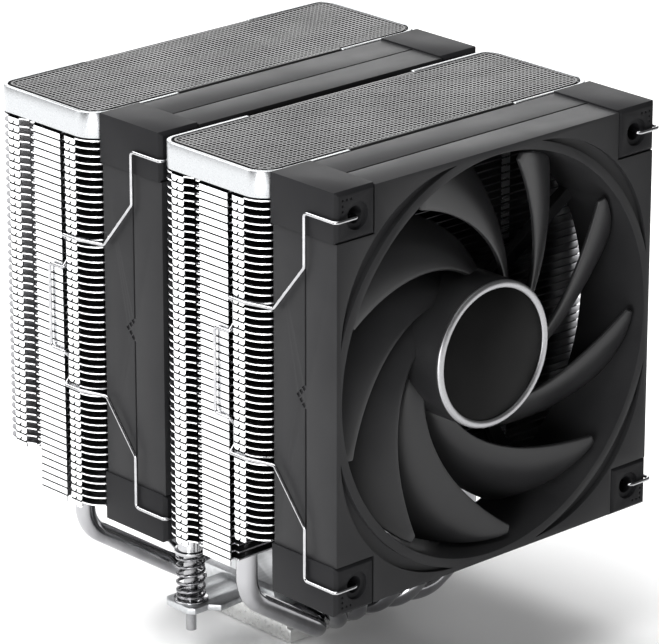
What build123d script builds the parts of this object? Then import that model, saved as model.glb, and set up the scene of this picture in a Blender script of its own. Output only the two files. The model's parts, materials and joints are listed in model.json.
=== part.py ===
"""Twin tower processor cooler: two finned towers on six bent heat pipes, with two clipped-on fans.

Origin: centre of the cold plate's underside. +Z is up, +Y runs from the front fan to the rear tower.
"""

import os
from math import cos, hypot, log, radians, sin, tan

from build123d import *

os.makedirs("parts", exist_ok=True)

# ---- Driving sizes, in millimetres ----
COOLER_HEIGHT = 160.0
FAN_SIDE = 120.0
FAN_DEPTH = 25.0
TOWER_DEPTH = 42.0
TOWER_OVERHANG = 2.6
FAN_GAP = 0.5
FAN_AIR_GAP = 2.5
MOVING_GAP = 0.3

TOWER_HALF_X = FAN_SIDE / 2 + TOWER_OVERHANG
TOWER_PITCH = TOWER_DEPTH + FAN_AIR_GAP + FAN_DEPTH + FAN_GAP
FAN_Z = COOLER_HEIGHT - FAN_SIDE / 2
FRONT_TOWER_Y = -(TOWER_PITCH + TOWER_DEPTH) / 2
REAR_TOWER_Y = FRONT_TOWER_Y + TOWER_PITCH
TOWERS = {"front": FRONT_TOWER_Y, "rear": REAR_TOWER_Y}
FANS = {
    "front": FRONT_TOWER_Y - FAN_GAP - FAN_DEPTH,
    "middle": REAR_TOWER_Y - FAN_GAP - FAN_DEPTH,
}
SIDES = {"left": -1, "right": 1}

# ---- Base: cold plate and pipe seat, with the pipes a small gap apart ----
PIPE_COUNT = 6
PIPE_R = 3.0
PIPE_GAP = 0.7
PIPE_BASE_PITCH = 2 * PIPE_R + PIPE_GAP
MIDDLE_PIPE = (PIPE_COUNT - 1) / 2
BASE_WALL = 0.25
BASE_X = (PIPE_COUNT - 1) * PIPE_BASE_PITCH + 2 * (PIPE_R + BASE_WALL)
STEP_Y = 38.0
STEP_Z = 3.9
STEP_COVER = 0.9
PIPE_Z = STEP_Z + STEP_COVER + PIPE_R
SEAT_Y = 34.6
SEAT_COVER = 1.2
SEAT_TOP_Z = PIPE_Z + PIPE_R + SEAT_COVER

# ---- Mounting bar and its cap ----
SCREW_X = 41.0
BAR_THICK = 2.0
BAR_TOP_Z = SEAT_TOP_Z + BAR_THICK
BAR_END_X = SCREW_X + 5.3
BAR_NECK_X = SCREW_X - 1.0
BAR_SHOULDER_X = SCREW_X - 3.4
BAR_TIP_HALF_Y = 6.2
BAR_SHOULDER_HALF_Y = 9.2
BAR_HALF_Y = 8.6
BAR_STRAIGHT = 8.0
BAR_CLIP_X = 1.5
BAR_CLIP_Y = 1.8
CAP_OVERHANG = 2.7
CAP_X = BASE_X + 2 * CAP_OVERHANG
CAP_Y = 30.0
CAP_COVER = 2.5
CAP_TOP_Z = BAR_TOP_Z + CAP_COVER
CAP_BEVEL = 1.2
CAP_SLOT_GAP = 0.1
CAP_SCREW_X = 2 * PIPE_BASE_PITCH
CAP_SCREW_Y = 11.4
CAP_SCREW_R = 1.0
CAP_SCREW_HEAD_R = 1.9
CAP_SCREW_HEAD_Z = 1.3
CAP_SCREW_GAP = 0.1
CAP_SCREW_SOCKET_R = 0.8
CAP_SCREW_SOCKET_DEPTH = 0.9
CAP_SCREW_TIP_Z = SEAT_TOP_Z - 2.0

# ---- Spring screws: the spring clears the screw, the flange and washer cover the spring ----
SCREW_R = 2.0
SCREW_TIP_R = 1.5
SCREW_TIP_Z = SEAT_TOP_Z - 7.4
SCREW_SHOULDER_Z = SEAT_TOP_Z - 1.6
WASHER_THICK = 0.6
SPRING_LENGTH = 14.0
SPRING_TOP_Z = BAR_TOP_Z + WASHER_THICK + SPRING_LENGTH
SPRING_WIRE_R = 0.45
SPRING_CLEARANCE = 1.4
SPRING_R = SCREW_R + SPRING_CLEARANCE + SPRING_WIRE_R
SPRING_COILS = 5
WASHER_R = SPRING_R + SPRING_WIRE_R + 0.7
SCREW_FLANGE_R = SPRING_R + SPRING_WIRE_R + 0.3
SCREW_FLANGE_THICK = 1.0
SCREW_HEAD_R = 3.7
SCREW_HEAD_HEIGHT = 4.0
SCREW_HEAD_BEVEL = 0.5
SCREW_SOCKET_R = 2.3
SCREW_SOCKET_DEPTH = 2.4
RING_R = SCREW_R + 1.4
RING_THICK = 0.6
RING_SLOT = 1.2
RING_GROOVE_R = SCREW_R - 0.2

# ---- Top covers and their end trims ----
COVER_TOP_Z = COOLER_HEIGHT - 0.4
COVER_HEIGHT = 7.6
COVER_BOTTOM_Z = COVER_TOP_Z - COVER_HEIGHT
TRIM_WALL = 1.3
TRIM_LEG_X = 31.0
TRIM_LINE = 0.6
COVER_WALL = 1.6
COVER_SKIN = 2.0
COVER_STEP = 0.9

# ---- Heat pipes: x of each column, its depth in the tower, and the height where it bends in ----
OUTER_PIPE_INSET = 12.0
PIPE_COLUMNS = [
    (14.5, 21.0, 30.0),
    (31.5, 18.5, 32.0),
    (TOWER_HALF_X - OUTER_PIPE_INSET, 21.0, 28.6),
]
PIPE_ELBOW_Y = 31.7
PIPE_FLARE = 1.12
PIPE_TOP_GAP = 1.6
PIPE_TOP_Z = COVER_TOP_Z - COVER_SKIN - PIPE_TOP_GAP
PIPE_ELBOW_R = 8.5
PIPE_UPPER_R = 11.0

# ---- Fan wire ----
WIRE_R = 0.5

# ---- Fins: the ones lowest in a tower are short, to leave room for the pipe bends ----
FIN_THICK = 0.4
FIN_PITCH = 2.206
TOP_FIN_GAP = 0.5
TOP_FIN_Z = COVER_BOTTOM_Z - TOP_FIN_GAP - FIN_THICK / 2
LOWEST_FIN_Z = {"front": 45.0, "rear": 43.0}
SHORT_FIN_Z = 53.0
SHORT_FIN_MARGIN = 0.2
FRONT_CORNER_R = 7.5
REAR_CORNER_R = 5.0
GROOVE_Y = 12.3
GROOVE_WIDTH = 2 * WIRE_R + 1.0
GROOVE_DEPTH = 1.6
FLANGE_END_Y = 25.6
RECESS_END_Y = 32.1
RECESS_DEPTH = 1.5
TAB_START_Y = 7.7
TAB_END_Y = 36.9
FLANGE_GAP = 0.1
FRONT_TAB_X = 27.6
FRONT_TAB_WIDTH = 3.0

# ---- Fan housing and pads, depths measured back from the front face ----
PAD_SIDE = 14.2
FRAME_INSET = 0.5
HOLE_EDGE = 7.5
HOLE_SPACING = FAN_SIDE - 2 * HOLE_EDGE
HOLE_R = 2.4
HOLE_RING_R = 3.9
HOLE_RING_DEPTH = 1.0
PAD_BEVEL = 1.0
DOT_SIDE = 0.6
DOT_PITCH = 1.5
DOT_MARGIN = 2.4
DOT_DEPTH = 0.4
DUCT_WALL = 2.4
DUCT_R = FAN_SIDE / 2 - DUCT_WALL
CRESCENT_R = FAN_SIDE / 2 + 0.2
CRESCENT_REACH = FAN_SIDE / 2 + 4.0
CRESCENT_HALF_ANGLE = 29.5
CRESCENT_DEPTH = 1.6
SEAM_DEPTH = 12.1
SEAM_SIZE = 0.6
NOTCH_SIDE = 1.2
NOTCH_DEPTH = 0.5
NOTCH_PLACES = [(0.65, 2.4), (1.7, 1.2), (2.8, 0.0), (1.7, -1.2), (0.65, -2.4)]
NOTCH_REACH = 3.3

# ---- Fan motor: every depth follows from the plate at the back or the hub at the front ----
MOTOR_PLATE_BACK = FAN_DEPTH - 0.4
MOTOR_PLATE_THICK = 3.2
MOTOR_PLATE_FRONT = MOTOR_PLATE_BACK - MOTOR_PLATE_THICK
HUB_R = 21.0
HUB_FRONT = 2.4
HUB_WALL = 1.6
HUB_PLATE = 2.0
HUB_BACK = MOTOR_PLATE_FRONT - 1.2
HUB_RING_WIDTH = 2.2
HUB_RING_THICK = 1.1
LABEL_R = HUB_R - HUB_RING_WIDTH
LABEL_THICK = 0.5
SHAFT_BOSS = 1.5
SHAFT_COVER = 0.8
SHAFT_R = 1.5
SHAFT_END_GAP = 1.0
MAGNET_WALL = 1.6
MAGNET_LENGTH = 11.0
MAGNET_GAP = 1.2
RUNNING_GAP = 0.05
BEARING_R = SHAFT_R + RUNNING_GAP + 1.25
BEARING_FRONT = HUB_FRONT + HUB_PLATE + SHAFT_BOSS + 1.6
BEARING_END_GAP = 2.4
TUBE_R = BEARING_R + 1.4
MOTOR_PLATE_R = HUB_R - 0.5
STRUT_WIDTH = 3.6
STRUT_ANGLE = 32.0
STRUT_OVERLAP = 1.5
STATOR_R = HUB_R - HUB_WALL - MAGNET_WALL - 1.2
STATOR_RIM = 2.2
STATOR_CORE = 2.0
STATOR_FRONT = BEARING_FRONT + 0.7
STATOR_LENGTH = 9.5
STATOR_POLES = 4
STATOR_POLE_WIDTH = 5.0
BOARD_R = STATOR_R - 1.6
BOARD_FRONT = STATOR_FRONT + STATOR_LENGTH + 1.2
BOARD_THICK = 1.2
RETAINER_R = SHAFT_R + 0.9
RETAINER_THICK = 0.6

# ---- Fan blades: angles in degrees, anticlockwise as the fan is seen from its front ----
BLADE_COUNT = 9
BLADE_TIP_GAP = 1.3
BLADE_TIP_R = DUCT_R - BLADE_TIP_GAP
BLADE_ROOT_R = HUB_R - 1.3
BLADE_STEPS = 5
BLADE_OVERRUN = 0.5
BLADE_PHASE = 13.0
BLADE_SWEEP = 81.5
BLADE_SWEEP_EASE = 12.4
BLADE_CHORD_ANGLE = 33.0
BLADE_BACK = HUB_BACK - 0.2
BLADE_FRONT_AT_ROOT = 10.4
BLADE_FRONT_AT_TIP = 2.3
BLADE_FRONT_EASE = 0.4
BLADE_THICK = 1.5
BLADE_EDGE = 0.7
BLADE_CAMBER = 0.09

# ---- Fan wire clips ----
CLIP_END_X = HOLE_SPACING / 2 + 0.3
CLIP_END_DEPTH = 3.5
CLIP_HIGH_Z = HOLE_SPACING / 2 - 0.2
CLIP_SIDE_DEPTH = 11.4
CLIP_DROP_Z = 37.0
CLIP_MIDDLE_Z = 22.4
CLIP_HANDLE_Z = 12.5
CLIP_SIDE_X = FAN_SIDE / 2 + MOVING_GAP + WIRE_R
CLIP_FIN_X = TOWER_HALF_X + MOVING_GAP + WIRE_R
CLIP_SEAT_GAP = 0.1
CLIP_GROOVE_X = TOWER_HALF_X - GROOVE_DEPTH + CLIP_SEAT_GAP + WIRE_R
CLIP_GROOVE_Y = GROOVE_Y + WIRE_R + 0.2
CLIP_HANDLE_Y = 18.9
CLIP_TOWER_GAP = 2.0
CLIP_CORNER_Y = TAB_START_Y - 1.0
CLIP_STEP = 2.0
CLIP_BEND_R = 1.3
CLIP_SMALL_BEND_R = 0.7


def pipe_base_x(number):
    """X of pipe 0 to 5 inside the base, from left to right."""
    return (number - MIDDLE_PIPE) * PIPE_BASE_PITCH


def pipe_column(number):
    """Column x, depth and bend height of pipe 0 to 5, with the x on the pipe's own side."""
    x, depth, corner_z = PIPE_COLUMNS[int(abs(number - MIDDLE_PIPE))]
    return (x if number > MIDDLE_PIPE else -x), depth, corner_z


def write(name, builder):
    """Labels a finished piece and writes it as its own STEP file."""
    builder.part.label = name
    export_step(builder.part, f"parts/{name}.step")


# ---- Cold plate: a wide lower step and a narrower seat with half grooves for the pipes ----
with BuildPart() as cold_plate:
    Box(BASE_X, STEP_Y, STEP_Z, align=(Align.CENTER, Align.CENTER, Align.MIN))
    with BuildSketch(Plane.XY.offset(STEP_Z)):
        Rectangle(BASE_X, SEAT_Y)
    extrude(amount=PIPE_Z - STEP_Z)
    with Locations([(pipe_base_x(n), 0, PIPE_Z) for n in range(PIPE_COUNT)]):
        Cylinder(PIPE_R, STEP_Y, rotation=(90, 0, 0), mode=Mode.SUBTRACT)
write("cold_plate", cold_plate)

# ---- Base block: the upper half of the pipe seat ----
with BuildPart() as base_block:
    with BuildSketch(Plane.XY.offset(PIPE_Z)):
        Rectangle(BASE_X, SEAT_Y)
    extrude(amount=SEAT_TOP_Z - PIPE_Z)
    with Locations([(pipe_base_x(n), 0, PIPE_Z) for n in range(PIPE_COUNT)]):
        Cylinder(PIPE_R, SEAT_Y, rotation=(90, 0, 0), mode=Mode.SUBTRACT)
    with BuildSketch(Plane.XY.offset(SEAT_TOP_Z)):
        with GridLocations(CAP_SCREW_X, 2 * CAP_SCREW_Y, 2, 2):
            Circle(CAP_SCREW_R)
    extrude(amount=CAP_SCREW_TIP_Z - SEAT_TOP_Z, mode=Mode.SUBTRACT)
write("base_block", base_block)

# ---- Bar cap: chamfered cap that straddles the mounting bar ----
with BuildPart() as bar_cap:
    with BuildSketch(Plane.XY.offset(SEAT_TOP_Z)):
        Rectangle(CAP_X, CAP_Y)
    extrude(amount=CAP_TOP_Z - SEAT_TOP_Z)
    chamfer(bar_cap.faces().sort_by(Axis.Z)[-1].edges(), CAP_BEVEL)
    with BuildSketch(Plane.XY.offset(SEAT_TOP_Z)):
        Rectangle(CAP_X, 2 * (BAR_HALF_Y + CAP_SLOT_GAP))
    extrude(amount=BAR_THICK, mode=Mode.SUBTRACT)
    with BuildSketch(Plane.XY.offset(SEAT_TOP_Z)):
        with GridLocations(CAP_SCREW_X, 2 * CAP_SCREW_Y, 2, 2):
            Circle(CAP_SCREW_R)
    extrude(amount=CAP_TOP_Z - SEAT_TOP_Z, mode=Mode.SUBTRACT)
    with BuildSketch(Plane.XY.offset(CAP_TOP_Z - CAP_SCREW_HEAD_Z)):
        with GridLocations(CAP_SCREW_X, 2 * CAP_SCREW_Y, 2, 2):
            Circle(CAP_SCREW_HEAD_R + CAP_SCREW_GAP)
    extrude(amount=CAP_SCREW_HEAD_Z, mode=Mode.SUBTRACT)
write("bar_cap", bar_cap)

# ---- Cap screws: four socket screws, just below the cap's top ----
with BuildPart() as cap_screws:
    with BuildSketch(Plane.XY.offset(CAP_SCREW_TIP_Z)):
        with GridLocations(CAP_SCREW_X, 2 * CAP_SCREW_Y, 2, 2):
            Circle(CAP_SCREW_R)
    extrude(amount=CAP_TOP_Z - CAP_SCREW_TIP_Z - CAP_SCREW_GAP)
    with BuildSketch(Plane.XY.offset(CAP_TOP_Z - CAP_SCREW_HEAD_Z)):
        with GridLocations(CAP_SCREW_X, 2 * CAP_SCREW_Y, 2, 2):
            Circle(CAP_SCREW_HEAD_R)
    extrude(amount=CAP_SCREW_HEAD_Z - CAP_SCREW_GAP)
    with BuildSketch(Plane.XY.offset(CAP_TOP_Z - CAP_SCREW_SOCKET_DEPTH)):
        with GridLocations(CAP_SCREW_X, 2 * CAP_SCREW_Y, 2, 2):
            RegularPolygon(CAP_SCREW_SOCKET_R, 6)
    extrude(amount=CAP_SCREW_SOCKET_DEPTH, mode=Mode.SUBTRACT)
write("cap_screws", cap_screws)

# ---- Mounting bar: flat plate with a shoulder and a clipped tip round each screw hole ----
with BuildPart() as mounting_bar:
    with BuildSketch(Plane.XY.offset(SEAT_TOP_Z)):
        with BuildLine():
            Polyline(
                (0, BAR_HALF_Y),
                (CAP_X / 2 + BAR_STRAIGHT, BAR_HALF_Y),
                (BAR_SHOULDER_X, BAR_SHOULDER_HALF_Y),
                (BAR_NECK_X, BAR_TIP_HALF_Y),
                (BAR_END_X - BAR_CLIP_X, BAR_TIP_HALF_Y),
                (BAR_END_X, BAR_TIP_HALF_Y - BAR_CLIP_Y),
                (BAR_END_X, 0),
            )
            mirror(about=Plane.XZ)
            mirror(about=Plane.YZ)
        make_face()
        with Locations((SCREW_X, 0), (-SCREW_X, 0)):
            Circle(SCREW_R + MOVING_GAP, mode=Mode.SUBTRACT)
    extrude(amount=BAR_THICK)
write("mounting_bar", mounting_bar)

# ---- Spring screws, springs, washers and retaining rings ----
for side, sign in SIDES.items():
    axis_x = sign * SCREW_X
    ring_top_z = SEAT_TOP_Z - MOVING_GAP
    with BuildPart() as screw:
        with BuildSketch(Plane.XY.offset(SCREW_TIP_Z)):
            with Locations((axis_x, 0)):
                Circle(SCREW_TIP_R)
        extrude(amount=SCREW_SHOULDER_Z - SCREW_TIP_Z)
        with BuildSketch(Plane.XY.offset(SCREW_SHOULDER_Z)):
            with Locations((axis_x, 0)):
                Circle(SCREW_R)
        extrude(amount=SPRING_TOP_Z - SCREW_SHOULDER_Z)
        with BuildSketch(Plane.XY.offset(SPRING_TOP_Z)):
            with Locations((axis_x, 0)):
                Circle(SCREW_FLANGE_R)
        extrude(amount=SCREW_FLANGE_THICK)
        with BuildSketch(Plane.XY.offset(SPRING_TOP_Z)):
            with Locations((axis_x, 0)):
                Circle(SCREW_HEAD_R)
        extrude(amount=SCREW_HEAD_HEIGHT + SCREW_FLANGE_THICK)
        chamfer(screw.faces().sort_by(Axis.Z)[-1].edges(), SCREW_HEAD_BEVEL)
        with BuildSketch(screw.faces().sort_by(Axis.Z)[-1]):
            RegularPolygon(SCREW_SOCKET_R, 6)
        extrude(amount=-SCREW_SOCKET_DEPTH, mode=Mode.SUBTRACT)
        with BuildSketch(Plane.XY.offset(ring_top_z - RING_THICK)):
            with Locations((axis_x, 0)):
                Circle(SCREW_R)
                Circle(RING_GROOVE_R, mode=Mode.SUBTRACT)
        extrude(amount=RING_THICK, mode=Mode.SUBTRACT)
    write(f"{side}_screw", screw)

    with BuildPart() as screw_ring:
        with BuildSketch(Plane.XY.offset(ring_top_z - RING_THICK)):
            with Locations((axis_x, 0)):
                Circle(RING_R)
                Circle(RING_GROOVE_R, mode=Mode.SUBTRACT)
            with Locations((axis_x + sign * RING_R, 0)):
                Rectangle(RING_R, RING_SLOT, mode=Mode.SUBTRACT)
        extrude(amount=RING_THICK)
    write(f"{side}_screw_ring", screw_ring)

    with BuildPart() as washer:
        with BuildSketch(Plane.XY.offset(BAR_TOP_Z)):
            with Locations((axis_x, 0)):
                Circle(WASHER_R)
                Circle(SCREW_R + MOVING_GAP, mode=Mode.SUBTRACT)
        extrude(amount=WASHER_THICK)
    write(f"{side}_washer", washer)

    spring_bottom_z = BAR_TOP_Z + WASHER_THICK
    spring_height = SPRING_TOP_Z - spring_bottom_z - 2 * SPRING_WIRE_R
    with BuildPart() as spring:
        with BuildLine() as spring_path:
            Helix(
                spring_height / SPRING_COILS,
                spring_height,
                SPRING_R,
                center=(axis_x, 0, spring_bottom_z + SPRING_WIRE_R),
            )
        with BuildSketch(Plane(spring_path.line @ 0, z_dir=spring_path.line % 0)):
            Circle(SPRING_WIRE_R)
        sweep(is_frenet=True)
    write(f"{side}_spring", spring)

# ---- Heat pipes: straight through the base, an elbow at each end, then up through a tower ----
for number in range(PIPE_COUNT):
    base_x = pipe_base_x(number)
    column_x, column_depth, corner_z = pipe_column(number)
    front_y = FRONT_TOWER_Y + column_depth
    rear_y = REAR_TOWER_Y + column_depth
    with BuildPart() as pipe:
        with BuildLine() as pipe_path:
            FilletPolyline(
                (column_x, front_y, PIPE_TOP_Z),
                (column_x, front_y, corner_z),
                (base_x * PIPE_FLARE, -PIPE_ELBOW_Y, PIPE_Z),
                (base_x, -STEP_Y / 2, PIPE_Z),
                (base_x, STEP_Y / 2, PIPE_Z),
                (base_x * PIPE_FLARE, PIPE_ELBOW_Y, PIPE_Z),
                (column_x, rear_y, corner_z),
                (column_x, rear_y, PIPE_TOP_Z),
                radius=[PIPE_UPPER_R, PIPE_ELBOW_R, PIPE_ELBOW_R]
                + [PIPE_ELBOW_R, PIPE_ELBOW_R, PIPE_UPPER_R],
            )
        with BuildSketch(Plane(pipe_path.line @ 0, z_dir=pipe_path.line % 0)):
            Circle(PIPE_R)
        sweep()
    write(f"heat_pipe_{number + 1}", pipe)

# ---- Tower outline, shared by the fins, covers and trims: local y runs back from the front face ----
with BuildSketch() as tower_outline:
    with BuildLine():
        Line((0, 0), (TOWER_HALF_X - FRONT_CORNER_R, 0))
        RadiusArc(
            (TOWER_HALF_X - FRONT_CORNER_R, 0),
            (TOWER_HALF_X, FRONT_CORNER_R),
            -FRONT_CORNER_R,
        )
        Line((TOWER_HALF_X, FRONT_CORNER_R), (TOWER_HALF_X, TOWER_DEPTH - REAR_CORNER_R))
        RadiusArc(
            (TOWER_HALF_X, TOWER_DEPTH - REAR_CORNER_R),
            (TOWER_HALF_X - REAR_CORNER_R, TOWER_DEPTH),
            -REAR_CORNER_R,
        )
        Line((TOWER_HALF_X - REAR_CORNER_R, TOWER_DEPTH), (0, TOWER_DEPTH))
        mirror(about=Plane.YZ)
    make_face()


def outline_inset(inset):
    """Sketch of the tower outline, drawn in by a distance all round."""
    with BuildSketch() as inner:
        add(tower_outline.sketch)
        offset(amount=-inset, kind=Kind.INTERSECTION, mode=Mode.REPLACE)
    return inner.sketch


# ---- Fin sheet: outline less the wire groove, the side recess and the pipe holes ----
recess_middle_y = (FLANGE_END_Y + RECESS_END_Y) / 2
with BuildSketch() as fin_sheet:
    add(tower_outline.sketch)
    for sign in (-1, 1):
        with Locations((sign * TOWER_HALF_X, GROOVE_Y + GROOVE_WIDTH / 2)):
            Rectangle(2 * GROOVE_DEPTH, GROOVE_WIDTH, mode=Mode.SUBTRACT)
        with BuildLine():
            ThreePointArc(
                (sign * TOWER_HALF_X, FLANGE_END_Y),
                (sign * (TOWER_HALF_X - RECESS_DEPTH), recess_middle_y),
                (sign * TOWER_HALF_X, RECESS_END_Y),
            )
            Polyline(
                (sign * TOWER_HALF_X, RECESS_END_Y),
                (sign * (TOWER_HALF_X + RECESS_DEPTH), RECESS_END_Y),
                (sign * (TOWER_HALF_X + RECESS_DEPTH), FLANGE_END_Y),
                (sign * TOWER_HALF_X, FLANGE_END_Y),
            )
        make_face(mode=Mode.SUBTRACT)
    with Locations([pipe_column(n)[:2] for n in range(PIPE_COUNT)]):
        Circle(PIPE_R, mode=Mode.SUBTRACT)

# ---- Fin flanges: side strips folded down towards the next fin ----
flange_spans = [
    (TAB_START_Y, GROOVE_Y),
    (GROOVE_Y + GROOVE_WIDTH, FLANGE_END_Y),
    (RECESS_END_Y, TAB_END_Y),
]
with BuildSketch() as fin_flanges:
    for start_y, end_y in flange_spans:
        for sign in (-1, 1):
            with Locations((sign * (TOWER_HALF_X - FIN_THICK / 2), (start_y + end_y) / 2)):
                Rectangle(FIN_THICK, end_y - start_y)
    with Locations((-FRONT_TAB_X, FIN_THICK / 2), (FRONT_TAB_X, FIN_THICK / 2)):
        Rectangle(FRONT_TAB_WIDTH, FIN_THICK)


def fin_sections(tower, short):
    """The sheet and flange sketches of one fin, trimmed for the short fins near the pipe bends."""
    keep_from = GROOVE_Y + SHORT_FIN_MARGIN if short and tower == "front" else -TOWER_DEPTH
    keep_to = FLANGE_END_Y + SHORT_FIN_MARGIN if short and tower == "rear" else 2 * TOWER_DEPTH
    sections = []
    for source in (fin_sheet, fin_flanges):
        with BuildSketch() as section:
            add(source.sketch)
            with Locations((0, (keep_from + keep_to) / 2)):
                Rectangle(3 * TOWER_HALF_X, keep_to - keep_from, mode=Mode.INTERSECT)
        sections.append(section.sketch)
    return sections


for tower, tower_y in TOWERS.items():
    fin_count = int((TOP_FIN_Z - LOWEST_FIN_Z[tower]) / FIN_PITCH) + 1
    fin_heights = [TOP_FIN_Z - row * FIN_PITCH for row in range(fin_count)]
    with BuildPart() as fins:
        for short in (False, True):
            sheet, flanges = fin_sections(tower, short)
            with BuildPart(mode=Mode.PRIVATE) as fin:
                with BuildSketch(Plane.XY.offset(-FIN_THICK / 2)):
                    add(sheet)
                extrude(amount=FIN_THICK)
                with BuildSketch(Plane.XY.offset(-FIN_THICK / 2)):
                    add(flanges)
                extrude(amount=-(FIN_PITCH - FIN_THICK - FLANGE_GAP))
            with Locations([(0, tower_y, z) for z in fin_heights if (z < SHORT_FIN_Z) == short]):
                add(fin.part)
    write(f"{tower}_fins", fins)

# ---- Top covers: hollow panels with a stepped-back middle and a thin line round the end trims ----
cavity_top_z = COVER_TOP_Z - COVER_SKIN
for tower, tower_y in TOWERS.items():
    with BuildPart() as cover:
        with BuildSketch(Plane.XY.offset(COVER_BOTTOM_Z)):
            with Locations((0, tower_y)):
                add(tower_outline.sketch)
            with Locations((0, tower_y + COVER_STEP / 2), (0, tower_y + TOWER_DEPTH - COVER_STEP / 2)):
                Rectangle(2 * TRIM_LEG_X, COVER_STEP, mode=Mode.SUBTRACT)
        extrude(amount=COVER_TOP_Z - COVER_BOTTOM_Z)
        with BuildSketch(Plane.XY.offset(COVER_BOTTOM_Z)):
            with Locations((0, tower_y)):
                add(tower_outline.sketch)
                add(outline_inset(TRIM_WALL), mode=Mode.SUBTRACT)
            with Locations((0, tower_y + TOWER_DEPTH / 2)):
                Rectangle(2 * TRIM_LEG_X, 2 * TOWER_DEPTH, mode=Mode.SUBTRACT)
        extrude(amount=COVER_TOP_Z - COVER_BOTTOM_Z, mode=Mode.SUBTRACT)
        with BuildSketch(Plane.XY.offset(COVER_TOP_Z - TRIM_LINE)):
            with Locations((0, tower_y)):
                add(tower_outline.sketch)
                add(outline_inset(TRIM_WALL + TRIM_LINE), mode=Mode.SUBTRACT)
            with Locations((0, tower_y + TOWER_DEPTH / 2)):
                Rectangle(2 * TRIM_LEG_X, 2 * TOWER_DEPTH, mode=Mode.SUBTRACT)
        extrude(amount=TRIM_LINE, mode=Mode.SUBTRACT)
        with BuildSketch(Plane.XY.offset(COVER_BOTTOM_Z)):
            with Locations((0, tower_y)):
                add(outline_inset(TRIM_WALL + COVER_WALL))
        extrude(amount=cavity_top_z - COVER_BOTTOM_Z, mode=Mode.SUBTRACT)
    write(f"{tower}_cover", cover)

    for side, sign in SIDES.items():
        with BuildPart() as trim:
            with BuildSketch(Plane.XY.offset(COVER_BOTTOM_Z)):
                with Locations((0, tower_y)):
                    add(tower_outline.sketch)
                    add(outline_inset(TRIM_WALL), mode=Mode.SUBTRACT)
                with Locations((sign * (TRIM_LEG_X + TOWER_HALF_X), tower_y + TOWER_DEPTH / 2)):
                    Rectangle(2 * TOWER_HALF_X, 2 * TOWER_DEPTH, mode=Mode.INTERSECT)
            extrude(amount=COVER_TOP_Z - COVER_BOTTOM_Z)
        write(f"{tower}_{side}_trim", trim)


def sweep_angle(radius):
    """Leading edge angle at a radius, in degrees, anticlockwise as the fan is seen from its front."""
    turn = log(radius / HUB_R)
    return BLADE_PHASE + BLADE_SWEEP * turn - BLADE_SWEEP_EASE * turn**2


def blade_front(radius):
    """Depth of the leading edge at a radius: deep at the root, nearly at the fan's face at the tip."""
    share = (radius - HUB_R) / (BLADE_TIP_R - HUB_R)
    eased = (1 - BLADE_FRONT_EASE) * share + BLADE_FRONT_EASE * share**2
    return BLADE_FRONT_AT_ROOT + (BLADE_FRONT_AT_TIP - BLADE_FRONT_AT_ROOT) * eased


# ---- One blade, in the fan's own frame: x right, y up, z towards the viewer ----
blade_step = (BLADE_TIP_R + BLADE_OVERRUN - BLADE_ROOT_R) / BLADE_STEPS
with BuildPart() as blade:
    for radius in [BLADE_ROOT_R + step * blade_step for step in range(BLADE_STEPS + 1)]:
        middle_angle = radians(sweep_angle(radius) - BLADE_CHORD_ANGLE / 2)
        front_depth = blade_front(radius)
        half_chord = radius * tan(radians(BLADE_CHORD_ANGLE / 2))
        half_rise = (BLADE_BACK - front_depth) / 2
        length = hypot(half_chord, half_rise)
        across = (half_rise / length, -half_chord / length)
        bulge = 2 * length * BLADE_CAMBER
        section_plane = Plane(
            origin=(radius * cos(middle_angle), radius * sin(middle_angle), -(front_depth + BLADE_BACK) / 2),
            x_dir=(-sin(middle_angle), cos(middle_angle), 0),
            z_dir=(cos(middle_angle), sin(middle_angle), 0),
        )
        with BuildSketch(section_plane):
            with BuildLine():
                lead = (half_chord, half_rise)
                trail = (-half_chord, -half_rise)
                lead_inner = (lead[0] + across[0] * BLADE_EDGE, lead[1] + across[1] * BLADE_EDGE)
                trail_inner = (trail[0] + across[0] * BLADE_EDGE, trail[1] + across[1] * BLADE_EDGE)
                inner_bulge = bulge - BLADE_THICK
                ThreePointArc(lead, (-across[0] * bulge, -across[1] * bulge), trail)
                Line(trail, trail_inner)
                ThreePointArc(
                    trail_inner,
                    (-across[0] * inner_bulge, -across[1] * inner_bulge),
                    lead_inner,
                )
                Line(lead_inner, lead)
            make_face()
    loft()
    with Locations((0, 0, -FAN_DEPTH / 2)):
        Cylinder(BLADE_TIP_R, 2 * FAN_DEPTH, mode=Mode.INTERSECT)

# ---- Fan pieces, each built in the fan's own frame ----
crescent_x = CRESCENT_R * cos(radians(CRESCENT_HALF_ANGLE))
crescent_shift = (CRESCENT_REACH**2 - CRESCENT_R**2) / (2 * (CRESCENT_REACH - crescent_x))
crescent_cut_r = CRESCENT_REACH - crescent_shift
pad_centre = (FAN_SIDE - PAD_SIDE) / 2
dot_corner = FAN_SIDE / 2 - DOT_MARGIN
dot_places = [(dot_corner - step * DOT_PITCH, dot_corner) for step in range(3)]
dot_places += [(dot_corner, dot_corner - step * DOT_PITCH) for step in (1, 2)]


def fan_plane(face_y, depth):
    """Plane across a fan at a depth behind its front face, facing forwards."""
    return Plane(origin=(0, face_y + depth, FAN_Z), x_dir=(1, 0, 0), z_dir=(0, -1, 0))


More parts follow.
